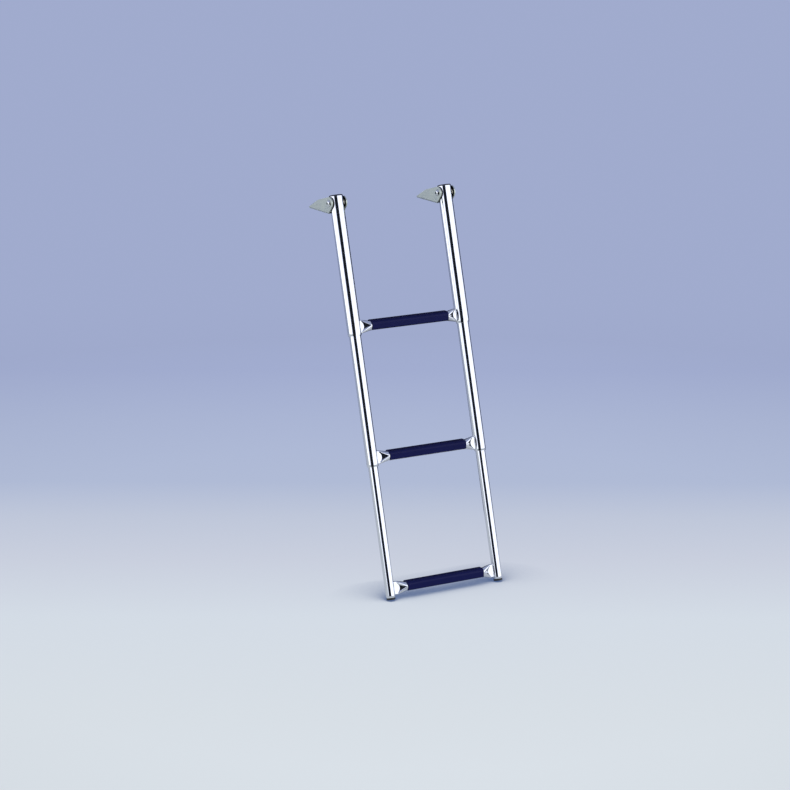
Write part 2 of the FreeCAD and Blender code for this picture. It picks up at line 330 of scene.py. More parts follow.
def arc_points(corners: Sequence[Corner], steps: int = 6) -> list[Point]:
    """Round the corners of a closed outline.

    Args:
        corners: Corners as (u, v, radius), in order; a radius of 0 stays sharp.
        steps: Straight pieces in each rounding.

    Returns:
        Points of the outline.
    """
    points: list[Point] = []
    count = len(corners)
    for index, (u, v, radius) in enumerate(corners):
        here = Vector((u, v))
        if radius <= 0.0:
            points.append((u, v))
            continue
        back = (Vector(corners[index - 1][:2]) - here).normalized()
        ahead = (Vector(corners[(index + 1) % count][:2]) - here).normalized()
        half_turn = back.angle(ahead) / 2.0
        centre = here + (back + ahead).normalized() * radius / math.sin(half_turn)
        start = here + back * radius / math.tan(half_turn) - centre
        turn = math.pi - 2.0 * half_turn
        sign = 1.0 if back.cross(ahead) < 0.0 else -1.0
        for step in range(steps + 1):
            angle = sign * turn * step / steps
            spun = Matrix.Rotation(angle, 2) @ start
            points.append((centre.x + spun.x, centre.y + spun.y))
    return points


def link_mesh(mesh: bmesh.types.BMesh, name: str) -> bpy.types.Object:
    """Turn a drawn mesh into an object in the scene.

    Args:
        mesh: The mesh, which is freed.
        name: Name of the object and its mesh.

    Returns:
        The object.
    """
    data = bpy.data.meshes.new(name)
    mesh.to_mesh(data)
    mesh.free()
    made = bpy.data.objects.new(name, data)
    bpy.context.scene.collection.objects.link(made)
    return made


def finish_mesh(mesh: bmesh.types.BMesh, name: str, placing: Matrix) -> bpy.types.Object:
    """Turn a drawn mesh in millimetres into an object in the part's frame.

    Args:
        mesh: The mesh, which is freed.
        name: Name of the piece.
        placing: Where its origin and axes go, in metres.

    Returns:
        The object, at the frame's origin, its place in its mesh.
    """
    bmesh.ops.remove_doubles(mesh, verts=mesh.verts, dist=MERGE_DISTANCE)
    bmesh.ops.recalc_face_normals(mesh, faces=mesh.faces)
    made = link_mesh(mesh, name)
    made.data.transform(placing @ Matrix.Scale(MM, 4))
    return made


def lathe(profile: Sequence[Point], name: str, placing: Matrix,
          steps: int = 128) -> bpy.types.Object:
    """Turn a closed outline about the Z axis.

    Args:
        profile: Points (radius, height) in millimetres, in order round the outline.
        name: Name of the piece.
        placing: Where the axis goes.
        steps: Faces round the circle.

    Returns:
        The turned piece.
    """
    mesh = bmesh.new()
    rings = []
    for step in range(steps):
        angle = 2.0 * math.pi * step / steps
        rings.append([
            mesh.verts.new((radius * math.cos(angle), radius * math.sin(angle), height))
            for radius, height in profile])
    count = len(profile)
    for step in range(steps):
        here = rings[step]
        ahead = rings[(step + 1) % steps]
        for index in range(count):
            after = (index + 1) % count
            if profile[index][0] == 0.0 and profile[after][0] == 0.0:
                continue
            mesh.faces.new((here[index], ahead[index], ahead[after], here[after]))
    return finish_mesh(mesh, name, placing)


def extrude(outline: Sequence[Point], start: float, length: float, name: str,
            placing: Matrix) -> bpy.types.Object:
    """Draw a closed outline in the YZ plane out along X.

    Args:
        outline: Points (y, z) in millimetres.
        start: X of its first end.
        length: How far it is drawn out.
        name: Name of the piece.
        placing: Where it goes.

    Returns:
        The prism.
    """
    mesh = bmesh.new()
    near = [mesh.verts.new((start, y, z)) for y, z in outline]
    far = [mesh.verts.new((start + length, y, z)) for y, z in outline]
    mesh.faces.new(near)
    mesh.faces.new(far)
    count = len(outline)
    for index in range(count):
        after = (index + 1) % count
        mesh.faces.new((near[index], near[after], far[after], far[index]))
    return finish_mesh(mesh, name, placing)


def hexagon(flats: float) -> list[Point]:
    """Draw a regular hexagon.

    Args:
        flats: Its width across flats.

    Returns:
        Its six corners.
    """
    reach = flats / 2.0 / math.cos(math.pi / 6.0)
    turns = [index * math.pi / 3.0 for index in range(6)]
    return [(reach * math.cos(turn), reach * math.sin(turn)) for turn in turns]


def combine(target: bpy.types.Object, tool: bpy.types.Object, how: Cut) -> bpy.types.Object:
    """Cut one solid with another, which is then gone.

    Args:
        target: The solid that stays.
        tool: The solid that cuts it.
        how: What stays of the target.

    Returns:
        The target.
    """
    cutter = target.modifiers.new("cut", "BOOLEAN")
    cutter.operation = how.value
    cutter.solver = "EXACT"
    cutter.object = tool
    bpy.context.view_layer.update()
    graph = bpy.context.evaluated_depsgraph_get()
    data = bpy.data.meshes.new_from_object(target.evaluated_get(graph))
    target.modifiers.clear()
    old = target.data
    target.data = data
    bpy.data.meshes.remove(old)
    data.name = target.name
    bpy.data.objects.remove(tool)
    return target


def soften(piece: bpy.types.Object, edge: float = 0.0, crease: float = 32.0) -> bpy.types.Object:
    """Shade a piece smooth, with its edges broken and its flats flat.

    Args:
        piece: The piece.
        edge: Width of the broken edges in millimetres, or 0 for none.
        crease: Angle in degrees from which an edge stays sharp.

    Returns:
        The piece.
    """
    piece.data.polygons.foreach_set("use_smooth", [True] * len(piece.data.polygons))
    if edge > 0.0:
        bevel = piece.modifiers.new("broken_edges", "BEVEL")
        bevel.width = edge * MM
        bevel.segments = EDGE_SEGMENTS
        bevel.limit_method = "ANGLE"
        bevel.angle_limit = math.radians(crease)
        bevel.harden_normals = False
    else:
        piece.data.set_sharp_from_angle(angle=math.radians(crease))
    weigh = piece.modifiers.new("flat_flats", "WEIGHTED_NORMAL")
    weigh.keep_sharp = True
    weigh.weight = FLAT_WEIGHT
    return piece


def dress(piece: bpy.types.Object, material: bpy.types.Material, body: str, slot: str,
          *nodes: str) -> None:
    """Give a piece its finish, the body that it moves with and the nodes that it stands for.

    Args:
        piece: The piece.
        material: Its finish.
        body: Body that carries it.
        slot: The record's material slot. Not used.
        nodes: Nodes that it replaces.
    """
    piece.data.materials.clear()
    piece.data.materials.append(material)
    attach(piece, body)
    if nodes:
        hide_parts(*nodes)
    log.info("%s: %d faces, on %s", piece.name, len(piece.data.polygons), body)


@dataclass
class Finishes:
    """Every finish of the ladder, built once."""

    lean: float
    polished: bpy.types.Material = field(init=False)
    pinched: bpy.types.Material = field(init=False)
    satin: bpy.types.Material = field(init=False)
    fastener: bpy.types.Material = field(init=False)
    tread: bpy.types.Material = field(init=False)
    cap: bpy.types.Material = field(init=False)
    bush: bpy.types.Material = field(init=False)

    def __post_init__(self) -> None:
        """Build the materials."""
        self.polished = PolishedStainless(lean=self.lean).material()
        # Step tubes are buffed by hand after pinching: a little hazier, with more waver
        self.pinched = PolishedStainless(
            name="hand_buffed_stainless", haze=0.08, haze_spread=0.06, wave_size=18.0,
            lean=self.lean).material()
        self.satin = SatinStainless().material()
        # Bolts and nuts are cold-headed and bright, with a tighter grain than the plate and the
        # same painted shade where other parts close round them
        self.fastener = SatinStainless(
            name="bright_cold_headed_stainless", colour="#d2d4d2", roughness=0.07,
            roughness_spread=0.06, grit=0.3, cloud=5.0).material()
        # Polypropylene treads: navy so deep that it reads black where no light skims it
        self.tread = MouldedPlastic(
            "moulded_polypropylene_navy", "#0e1349", "#0b0f3a", roughness=0.36,
            roughness_spread=0.08, index=1.49, grit=0.6, grit_depth=0.05, gloss=0.12).material()
        # Polyethylene caps and feet: black, waxy and a little softer in sheen
        self.cap = MouldedPlastic(
            "moulded_polyethylene_black", "#0c0d0f", "#101113", roughness=0.38,
            roughness_spread=0.12, index=1.51, grit=0.8, grit_depth=0.03).material()
        # Machined acetal bushes: milky white with a faint lathe sheen
        self.bush = MouldedPlastic(
            "turned_acetal_white", "#e2e1da", "#d8d7cf", roughness=0.4,
            roughness_spread=0.1, index=1.48, grit=0.4, grit_depth=0.01).material()


@dataclass
class Ladder:
    """Place and sizes of the rails, which the other classes share."""

    spacing: float
    lean: float
    pivot: Vector
    tube_od: dict[Section, float]
    tube_low: dict[Section, float]
    tube_high: dict[Section, float]
    wall: float = 1.2
    slide_clearance: float = 0.3
    step_above_end: float = 20.0

    @classmethod
    def from_frame(cls) -> "Ladder":
        """Read the ladder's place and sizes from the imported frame.

        Returns:
            The ladder, with lengths in millimetres from the pivot up the rails.
        """
        fold = next(joint for joint in frame["joints"] if joint["name"] == "ladder_fold")
        slide = next(joint for joint in frame["joints"] if joint["name"] == "middle_slide")
        up = Vector(slide["axis"]).normalized()
        pivot = Vector(fold["pos_m"])
        tubes = {Section.UPPER: "outer", Section.MIDDLE: "middle", Section.LOWER: "inner"}
        od, low, high = {}, {}, {}
        for section, tube in tubes.items():
            node = frame["nodes"]["left_" + tube + "_tube"]
            points = [vertex.co for vertex in node.data.vertices]
            reaches = [(point - pivot).dot(up) / MM for point in points]
            low[section] = round(min(reaches), 1)
            high[section] = round(max(reaches), 1)
            od[section] = round(2.0 * max(point.x for point in points) / MM, 1)
        left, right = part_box("left_outer_tube"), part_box("right_outer_tube")
        spacing = round((right[0].x + right[1].x - left[0].x - left[1].x) / 2.0 / MM, 1)
        return cls(spacing, math.atan2(up.y, up.z), pivot, od, low, high)

    def across(self, side: Side) -> float:
        """X of a rail in metres."""
        return 0.0 if side is Side.LEFT else self.spacing * MM

    def at_pivot(self, side: Side) -> Matrix:
        """Placing of an upright piece whose origin is the pivot."""
        return Matrix.Translation((self.across(side), self.pivot.y, self.pivot.z))

    def on_rail(self, side: Side) -> Matrix:
        """Placing of a piece drawn about a rail's axis, with the pivot as its origin."""
        return self.at_pivot(side) @ self.tilt()

    def on_step(self, section: Section) -> Matrix:
        """Placing of a piece drawn about a step tube's axis, leaning with the rails."""
        return Matrix.Translation(self.step_centre(section)) @ self.tilt()

    def tilt(self) -> Matrix:
        """Rotation that leans a piece with the rails."""
        return Matrix.Rotation(-self.lean, 4, "X")

    def step_centre(self, section: Section) -> Vector:
        """Find the centre of a step tube at the left rail's axis.

        Args:
            section: Frame that the step belongs to.

        Returns:
            The centre, in metres.
        """
        height = (self.tube_low[section] + self.step_above_end) * MM
        up = Vector((0.0, math.sin(self.lean), math.cos(self.lean)))
        return self.pivot + up * height


@dataclass
class Rails:
    """The nested rail tubes with their caps and feet."""

    ladder: Ladder
    finishes: Finishes
    lip_length: float = 5.0
    lip_edge_round: float = 0.55
    lip_bore_round: float = 0.12
    shoulder_round: float = 9.0
    mouth_round: float = 0.35
    cap_height: float = 3.3
    cap_crown: float = 0.5
    cap_edge_round: float = 2.3
    cap_crown_share: float = 0.45
    cap_crown_round: float = 18.0
    cap_plug: float = 6.5
    plug_play: float = 0.1
    plug_end_round: float = 0.8
    seat_round: float = 0.25
    end_length: float = 4.0
    end_thinning: float = 0.9
    end_round: float = 9.0
    end_edge_round: float = 0.1
    foot_height: float = 4.95
    foot_inset: float = 0.8
    foot_edge_round: float = 1.9
    foot_plug: float = 15.0
    sleeve_radius: float = 6.08

    def build(self) -> None:
        """Build both rails from the top down."""
        for side in Side:
            for section in Section:
                self.tube(side, section)
            self.cap(side)
            self.foot(side)

    def tube(self, side: Side, section: Section) -> None:
        """Build one tube, its lower end rolled in where another slides in it.

        Args:
            side: Rail that it belongs to.
            section: Frame that it belongs to.
        """
        ladder = self.ladder
        outer = ladder.tube_od[section] / 2.0
        inner = outer - ladder.wall
        low, high = ladder.tube_low[section], ladder.tube_high[section]
        if section is Section.LOWER:
            corners = [
                (inner, low, 0.0),
                (outer - self.end_thinning, low, self.end_edge_round),
                (outer, low + self.end_length, self.end_round),
            ]
        else:
            sliding = Section.MIDDLE if section is Section.UPPER else Section.LOWER
            bore = ladder.tube_od[sliding] / 2.0 + ladder.slide_clearance
            shoulder = low + self.lip_length
            corners = [
                (inner, shoulder, 0.0),
                (bore, low + self.lip_edge_round, 0.0),
                (bore, low, self.lip_bore_round),
                (bore + ladder.wall, low, self.lip_edge_round),
                (outer, shoulder, self.shoulder_round),
            ]
        corners += [(outer, high, self.mouth_round), (inner, high, self.mouth_round)]
        names = {Section.UPPER: "outer", Section.MIDDLE: "middle", Section.LOWER: "inner"}
        node = side.value + "_" + names[section] + "_tube"
        piece = lathe(arc_points(corners), node + "_polished", ladder.on_rail(side))
        if section is Section.UPPER:
            # The drill for the pivot sleeve sticks out by a radius at each side
            reach = outer * 2.0
            round_hole = [(0.0, -reach), (self.sleeve_radius, -reach),
                          (self.sleeve_radius, reach), (0.0, reach)]
            across = ladder.on_rail(side) @ Matrix.Rotation(math.pi / 2.0, 4, "Y")
            combine(piece, lathe(round_hole, "drill", across, 64), Cut.AWAY)
        soften(piece)
        dress(piece, self.finishes.polished, section.value + "_frame", "polished_tube", node)

    def cap(self, side: Side) -> None:
        """Build the domed plastic cap on a rail's top.

        Args:
            side: Rail that it closes.
        """
        ladder = self.ladder
        outer = ladder.tube_od[Section.UPPER] / 2.0
        plug = outer - ladder.wall - self.plug_play
        seat = ladder.tube_high[Section.UPPER]
        crown = seat + self.cap_height
        corners = [
            (0.0, seat - self.cap_plug, 0.0),
            (plug, seat - self.cap_plug, self.plug_end_round),
            (plug, seat, 0.0),
            (outer, seat, self.seat_round),
            (outer, crown - self.cap_crown, self.cap_edge_round),
            (outer * self.cap_crown_share, crown, self.cap_crown_round),
            (0.0, crown, 0.0),
        ]
        node = side.value + "_top_cap"
        piece = lathe(arc_points(corners, 8), node + "_moulded", ladder.on_rail(side), 96)
        soften(piece)
        dress(piece, self.finishes.cap, "upper_frame", "cap_plastic", node)

    def foot(self, side: Side) -> None:
        """Build the plastic foot at a rail's lower end.

        Args:
            side: Rail that it closes.
        """
        ladder = self.ladder
        outer = ladder.tube_od[Section.LOWER] / 2.0
        plug = outer - ladder.wall - self.plug_play
        seat = ladder.tube_low[Section.LOWER]
        sole = seat - self.foot_height
        corners = [
            (0.0, sole, 0.0),
            (outer - self.foot_inset, sole, self.foot_edge_round),
            (outer - self.foot_inset, seat, self.seat_round),
            (plug, seat, 0.0),
            (plug, seat + self.foot_plug, self.plug_end_round),
            (0.0, seat + self.foot_plug, 0.0),
        ]
        node = side.value + "_foot"
        piece = lathe(arc_points(corners, 8), node + "_moulded", ladder.on_rail(side), 96)
        soften(piece)
        dress(piece, self.finishes.cap, "lower_frame", "cap_plastic", node + "_plug")


@dataclass
class Steps:
    """Steps of round tube pinched flat at the rails, each under a ribbed tread."""

    ladder: Ladder
    finishes: Finishes
    tube_od: float = 22.2
    flat_thickness: float = 5.4
    pinch_length: float = 27.0
    tread_length: float = 203.0
    tread_depth: float = 26.0
    tread_crown: float = 2.0
    tread_skirt: float = 8.0
    top_round: float = 8.0
    lower_round: float = 4.0
    groove_count: int = 5
    groove_pitch: float = 4.0
    groove_radius: float = 0.9
    dish_reach: float = 7.0
    taper_softness: float = 0.14
    weld_radius: float = 1.0
    weld_ripple: float = 1.5
    weld_ripple_depth: float = 0.12
    weld_facet: float = 0.5
    root_depth: float = 0.4
    pinch_rings: int = 24
    groove_facets: int = 8
    bore_facets: int = 32

    def build(self) -> None:
        """Build the three steps with their treads and welds."""
        for section in Section:
            self.tube(section)
            self.tread(section)
            for side in Side:
                self.weld(section, side)

    def rise(self) -> float:
        """Height of the flat end's half-round centres above the tube's axis."""
        return math.pi * (self.tube_od - self.flat_thickness) / 4.0

    def half_depth(self, share: float) -> float:
        """From the axis to the flank where the tube is pinched by this share."""
        return self.tube_od / 2.0 * (1.0 - share) + self.flat_thickness / 2.0 * share

    def section_outline(self, gone: float, steps: int = 20, flank: int = 14) -> list[Point]:
        """Outline of the tube on its way from round to pinched, its girth unchanged.

        Args:
            gone: How far past the round end.
            steps: Straight pieces in each half round.
            flank: Straight pieces in each flank.

        Returns:
            Points (y, z): two half rounds with dished flanks between.
        """
        length = self.pinch_length
        edge = self.pinch(gone, length)
        radius, offset = self.half_depth(edge), self.rise() * edge
        points = []
        for side in (1.0, -1.0):
            for step in range(steps + 1):
                angle = math.pi * step / steps
                height = offset + radius * math.sin(angle)
                points.append((side * radius * math.cos(angle), side * height))
            for step in range(1, flank):
                level = 1.0 - 2.0 * step / flank
                end = length - self.dish_reach * math.sqrt(1.0 - level * level)
                depth = self.half_depth(self.pinch(gone, end))
                points.append((-side * depth, side * offset * level))
        return points

    def pinch(self, gone: float, length: float) -> float:
        """Share of the pinch along the taper: a straight fall with eased ends.

        Args:
            gone: How far past the round end.
            length: Length of the fall.

        Returns:
            0 where the tube is round, 1 where it is flat.
        """
        soft = self.taper_softness
        along = min(1.0, gone / length)
        if along < soft:
            return along * along / (2.0 * soft) / (1.0 - soft)
        if along > 1.0 - soft:
            return 1.0 - (1.0 - along) ** 2 / (2.0 * soft) / (1.0 - soft)
        return (along - soft / 2.0) / (1.0 - soft)

    def tube(self, section: Section) -> None:
        """Build one step tube, coped round the rails at both ends.

        Args:
            section: Frame that it belongs to.
        """
        ladder = self.ladder
        rail = ladder.tube_od[section] / 2.0
        taper_start = (ladder.spacing - self.tread_length) / 2.0
        length = self.pinch_length
        stations = [(rail - self.root_depth, length)]
        for step in range(self.pinch_rings, -1, -1):
            gone = length * step / self.pinch_rings
            stations.append((taper_start - gone, gone))
        whole = stations + [(ladder.spacing - x, gone) for x, gone in reversed(stations)]
        mesh = bmesh.new()
        rings = []
        for index, (x, gone) in enumerate(whole):
            ring = []
            for y, z in self.section_outline(gone):
                coped = x
                if index in (0, len(whole) - 1):
                    cope = rail - math.sqrt(rail * rail - y * y)
                    coped = x - cope if index == 0 else x + cope
                ring.append(mesh.verts.new((coped, y, z)))
            rings.append(ring)
        count = len(rings[0])
        for near, far in zip(rings, rings[1:]):
            for index in range(count):
                after = (index + 1) % count
                mesh.faces.new((near[index], near[after], far[after], far[index]))
        mesh.faces.new(rings[0])
        mesh.faces.new(rings[-1])
        node = section.value + "_step_tube"
        piece = finish_mesh(mesh, node + "_pinched", ladder.on_step(section))
        soften(piece, crease=40.0)
        dress(piece, self.finishes.pinched, section.value + "_frame", "step_tube_steel", node)

    def groove(self, middle: float) -> tuple[Point, list[Point]]:
        """Section of one groove in the tread's top.

        Args:
            middle: Its place across the tread.

        Returns:
            Its centre, on the rounded top, and its points from front to back.
        """
        past_flat = max(0.0, abs(middle) - self.tread_depth / 2.0 + self.top_round)
        leaning = math.copysign(math.asin(past_flat / self.top_round), middle)
        fall = self.top_round * (1.0 - math.cos(leaning))
        centre = (middle, self.tube_od / 2.0 + self.tread_crown - fall)
        points = []
        for step in range(self.groove_facets + 1):
            angle = -leaning - math.pi * step / self.groove_facets
            points.append((centre[0] + self.groove_radius * math.cos(angle),
                           centre[1] + self.groove_radius * math.sin(angle)))
        return centre, points

    def tread_outline(self) -> list[Point]:
        """Draw the tread's section: a shell with round shoulders and a grooved top.

        Returns:
            Points (y, z) round the shell, which is open to the tube below.
        """
        half = self.tread_depth / 2.0
        top = self.tube_od / 2.0 + self.tread_crown
        bore = self.tube_od / 2.0
        skirt = math.asin(self.tread_skirt / bore)
        foot = bore * math.cos(skirt)
        shell = arc_points([
            (foot, -self.tread_skirt, 0.0), (half, -self.tread_skirt, self.lower_round),
            (half, top, self.top_round), (-half, top, self.top_round),
            (-half, -self.tread_skirt, self.lower_round), (-foot, -self.tread_skirt, 0.0)], 14)
        middle = (self.groove_count - 1) / 2.0
        grooves = [self.groove((index - middle) * self.groove_pitch)
                   for index in range(self.groove_count)]
        waiting = list(grooves)
        points: list[Point] = []
        for y, z in shell:
            if waiting and z > 0.0 and y < waiting[-1][0][0]:
                while waiting and y < waiting[-1][0][0]:
                    points += waiting.pop()[1]
            # Points of the shell in or just beside a groove give way to the groove's own
            kept_off = self.groove_radius * 1.05
            if all(math.dist((y, z), centre) > kept_off for centre, _ in grooves):
                points.append((y, z))
        for step in range(1, self.bore_facets):
            angle = math.pi + skirt - (math.pi + 2.0 * skirt) * step / self.bore_facets
            points.append((bore * math.cos(angle), bore * math.sin(angle)))
        return points

    def tread(self, section: Section) -> None:
        """Build one ribbed plastic tread, level, over its step tube.

        Args:
            section: Frame that it belongs to.
        """
        ladder = self.ladder
        start = (ladder.spacing - self.tread_length) / 2.0
        placing = Matrix.Translation(ladder.step_centre(section))
        node = section.value + "_tread"
        piece = extrude(self.tread_outline(), start, self.tread_length, node + "_moulded", placing)
        soften(piece, edge=0.3)
        dress(piece, self.finishes.tread, section.value + "_frame", "tread_plastic", node)

    def weld(self, section: Section, side: Side) -> None:
        """Build the rippled weld bead round one pinched end.

        Args:
            section: Frame that it belongs to.
            side: Rail that it joins.
        """
        ladder = self.ladder
        rail = ladder.tube_od[section] / 2.0
        outline = self.section_outline(self.pinch_length, 40)
        dense: list[Vector] = []
        for index, (y, z) in enumerate(outline):
            after = outline[(index + 1) % len(outline)]
            span = math.hypot(after[0] - y, after[1] - z)
            pieces = max(1, round(span / self.weld_facet))
            for step in range(pieces):
                share = step / pieces
                here_y = y + (after[0] - y) * share
                here_z = z + (after[1] - z) * share
                dense.append(Vector((math.sqrt(rail * rail - here_y * here_y), here_y, here_z)))
        mesh = bmesh.new()
        rings = []
        travelled = 0.0
        count = len(dense)
        facets = 12
        for index, here in enumerate(dense):
            ahead = dense[(index + 1) % count]
            heading = (ahead - dense[index - 1]).normalized()
            outward = Vector((1.0, 0.0, 0.0))
            sideways = heading.cross(outward).normalized()
            outward = sideways.cross(heading).normalized()
            ripple = math.cos(2.0 * math.pi * travelled / self.weld_ripple)
            radius = self.weld_radius * (1.0 + self.weld_ripple_depth * ripple)
            ring = []
            for facet in range(facets):
                angle = 2.0 * math.pi * facet / facets
                offset = (outward * math.cos(angle) + sideways * math.sin(angle)) * radius
                ring.append(mesh.verts.new(here + offset))
            rings.append(ring)
            travelled += (ahead - here).length
        for index in range(count):
            near, far = rings[index], rings[(index + 1) % count]
            for facet in range(facets):
                after = (facet + 1) % facets
                mesh.faces.new((near[facet], near[after], far[after], far[facet]))
        if side is Side.RIGHT:
            for vertex in mesh.verts:
                vertex.co.x = ladder.spacing - vertex.co.x
        name = section.value + "_" + side.value + "_weld"
        piece = finish_mesh(mesh, name, ladder.on_step(section))
        soften(piece, crease=80.0)
        dress(piece, self.finishes.pinched, section.value + "_frame", "step_tube_steel")


@dataclass
class Brackets:
    """Folded clevis brackets with the bolts on which the ladder folds."""

    ladder: Ladder
    finishes: Finishes
    plate: float = 2.5
    bend_radius: float = 1.5
    side_gap: float = 1.5
    nose_radius: float = 14.0
    toe_setback: float = 4.0
    back_reach: float = 97.0
    tip_height: float = 4.0
    crest_reach: float = 54.0
    crest_height: float = 26.0
    crest_round: float = 25.0
    tip_round: float = 1.5
    toe_round: float = 1.5
    stop_gap: float = 0.3
    screw_radius: float = 3.3
    screw_spacing: float = 50.0
    edge: float = 0.35
    bolt_radius: float = 4.0
    head_radius: float = 7.5
    head_height: float = 5.4
    socket_flats: float = 5.0
    socket_depth: float = 2.6
    nut_flats: float = 13.0
    nut_height: float = 4.0
    collar_height: float = 1.0
    collar_radius: float = 5.3
    thread_stand_out: float = 0.4
    thread_pitch: float = 1.25
    thread_depth_share: float = 0.55
    bolt_play: float = 0.2
    dome_facets: int = 15
    nut_foot_chamfer: float = 0.55
    nut_top_chamfer: float = 0.7
    collar_edge: float = 0.5
    cut_margin: float = 5.0
    side_margin: float = 2.0

    def build(self) -> None:
        """Build both brackets with their bolts and nuts."""
        for side in Side:
            self.bracket(side)
            self.bolt(side)
            self.nut(side)

    def ear_gap(self) -> float:
        """Clear width between the ears."""
        return self.ladder.tube_od[Section.UPPER] + 2.0 * self.side_gap

    def half_width(self) -> float:
        """From the middle of a bracket to the outside of an ear."""
        return self.ear_gap() / 2.0 + self.plate

    def ear_outline(self) -> list[Point]:
        """Draw an ear from the side: a round nose at the pivot, then over a crest to low.

        Returns:
            Points (y, z), measured from the pivot's foot on the platform.
        """
        pivot_height = self.ladder.pivot.z / MM
        radius = self.nose_radius
        toe_angle = math.atan2(-pivot_height, self.toe_setback) % (2.0 * math.pi)
        toe_touch = toe_angle - math.acos(radius / math.hypot(pivot_height, self.toe_setback))
        rise = self.crest_height - pivot_height
        crest_angle = math.acos(radius / math.hypot(rise, self.crest_reach))
        crest_touch = math.atan2(rise, self.crest_reach) + crest_angle
        middle = (toe_touch + crest_touch) / 2.0
        reach = radius / math.cos((toe_touch - crest_touch) / 2.0)
        return arc_points([
            (self.toe_setback, 0.0, self.toe_round),
            (self.back_reach, 0.0, self.tip_round),
            (self.back_reach, self.tip_height, self.tip_round),
            (self.crest_reach, self.crest_height, self.crest_round),
            (reach * math.cos(middle), pivot_height + reach * math.sin(middle), radius),
        ], steps=20)

    def base_front(self) -> float:
        """Find where the base plate starts, so that the leaning tube rests on its edge.

        Returns:
            Y of that edge from the pivot, in millimetres.
        """
        tube = self.ladder.tube_od[Section.UPPER] / 2.0
        lean = self.ladder.lean
        drop = (self.ladder.pivot.z / MM - tube * math.sin(lean) - self.plate) / math.cos(lean)
        return tube * math.cos(lean) - drop * math.sin(lean) + self.stop_gap

    def bracket(self, side: Side) -> None:
        """Build one bracket from its folded section and its side view.

        Args:
            side: Rail that it carries.
        """
        ladder = self.ladder
        margin = self.cut_margin
        start = -self.nose_radius - margin
        length = self.back_reach - start + margin
        half, inner = self.half_width(), self.ear_gap() / 2.0
        top = ladder.pivot.z / MM + self.nose_radius + margin
        outer_bend = self.bend_radius + self.plate
        folded = arc_points([
            (-half, 0.0, outer_bend), (half, 0.0, outer_bend), (half, top, 0.0), (inner, top, 0.0),
            (inner, self.plate, self.bend_radius), (-inner, self.plate, self.bend_radius),
            (-inner, top, 0.0), (-half, top, 0.0)], steps=10)
        at_foot = Matrix.Translation((ladder.across(side), ladder.pivot.y, 0.0))
        # The folded section is drawn across the ladder, then turned to run fore and aft
        along = at_foot @ Matrix.Rotation(-math.pi / 2.0, 4, "Z")
        node = side.value + "_bracket"
        piece = extrude(folded, -start - length, length, node + "_folded", along)
        past = half + self.side_margin
        side_view = extrude(self.ear_outline(), -past, 2.0 * past, "side_view", at_foot)
        combine(piece, side_view, Cut.KEEP_COMMON)
        relief_end = self.base_front()
        relief = [(start - margin, -margin), (relief_end, -margin),
                  (relief_end, outer_bend), (start - margin, outer_bend)]
        combine(piece, extrude(relief, -inner, 2.0 * inner, "relief", at_foot), Cut.AWAY)
        hole = self.bolt_radius + self.bolt_play
        bar = [(0.0, -past), (hole, -past), (hole, past), (0.0, past)]
        combine(piece, lathe(bar, "bolt_drill", self.across_pivot(side), 48), Cut.AWAY)
        low, high = -self.side_margin, margin
        drill = [(0.0, low), (self.screw_radius, low), (self.screw_radius, high), (0.0, high)]
        for end in (-1.0, 1.0):
            from_middle = end * self.screw_spacing / 2.0 * MM
            place = Matrix.Translation((ladder.across(side), from_middle, 0.0))
            combine(piece, lathe(drill, "screw_drill", place, 48), Cut.AWAY)
        soften(piece, edge=self.edge)
        dress(piece, self.finishes.satin, "brackets", "bracket_plate", node)

    def across_pivot(self, side: Side) -> Matrix:
        """Placing of a piece turned about the pivot's axis, +Z of the piece to the right."""
        return self.ladder.at_pivot(side) @ Matrix.Rotation(math.pi / 2.0, 4, "Y")

    def bolt(self, side: Side) -> None:
        """Build one button-head bolt with its socket and the thread at its end.

        Args:
            side: Bracket that it goes through.
        """
        grip = self.half_width()
        end = grip + self.nut_height + self.collar_height + self.thread_stand_out
        dome = (self.head_height ** 2 + self.head_radius ** 2) / (2.0 * self.head_height)
        spread = math.asin(self.head_radius / dome)
        crown = -grip - self.head_height
        corners: list[Point] = [(0.0, end), (0.0, crown)]
        for step in range(1, self.dome_facets):
            angle = spread * step / self.dome_facets
            corners.append((dome * math.sin(angle), crown + dome * (1.0 - math.cos(angle))))
        # The head's rim is rounded over by a few tenths
        corners += [(self.head_radius - 0.05, -grip - 0.35), (self.head_radius, -grip - 0.15),
                    (self.head_radius - 0.2, -grip), (self.bolt_radius, -grip)]
        # The thread shows from just inside the nut's collar to the bolt's end
        height = grip + self.nut_height + self.collar_height - 1.0
        depth = self.thread_depth_share * self.thread_pitch
        while height + self.thread_pitch < end:
            corners += [(self.bolt_radius, height),
                        (self.bolt_radius - depth, height + self.thread_pitch / 2.0)]
            height += self.thread_pitch
        corners += [(self.bolt_radius, height), (self.bolt_radius - 0.6, end)]
        node = side.value + "_pivot_bolt"
        piece = lathe(corners, node + "_turned", self.across_pivot(side), 72)
        socket = extrude(hexagon(self.socket_flats), crown - 1.0, self.socket_depth + 1.0,
                         "socket", self.ladder.at_pivot(side))
        combine(piece, socket, Cut.AWAY)
        soften(piece, crease=30.0)
        dress(piece, self.finishes.fastener, "brackets", "fastener_steel", node)

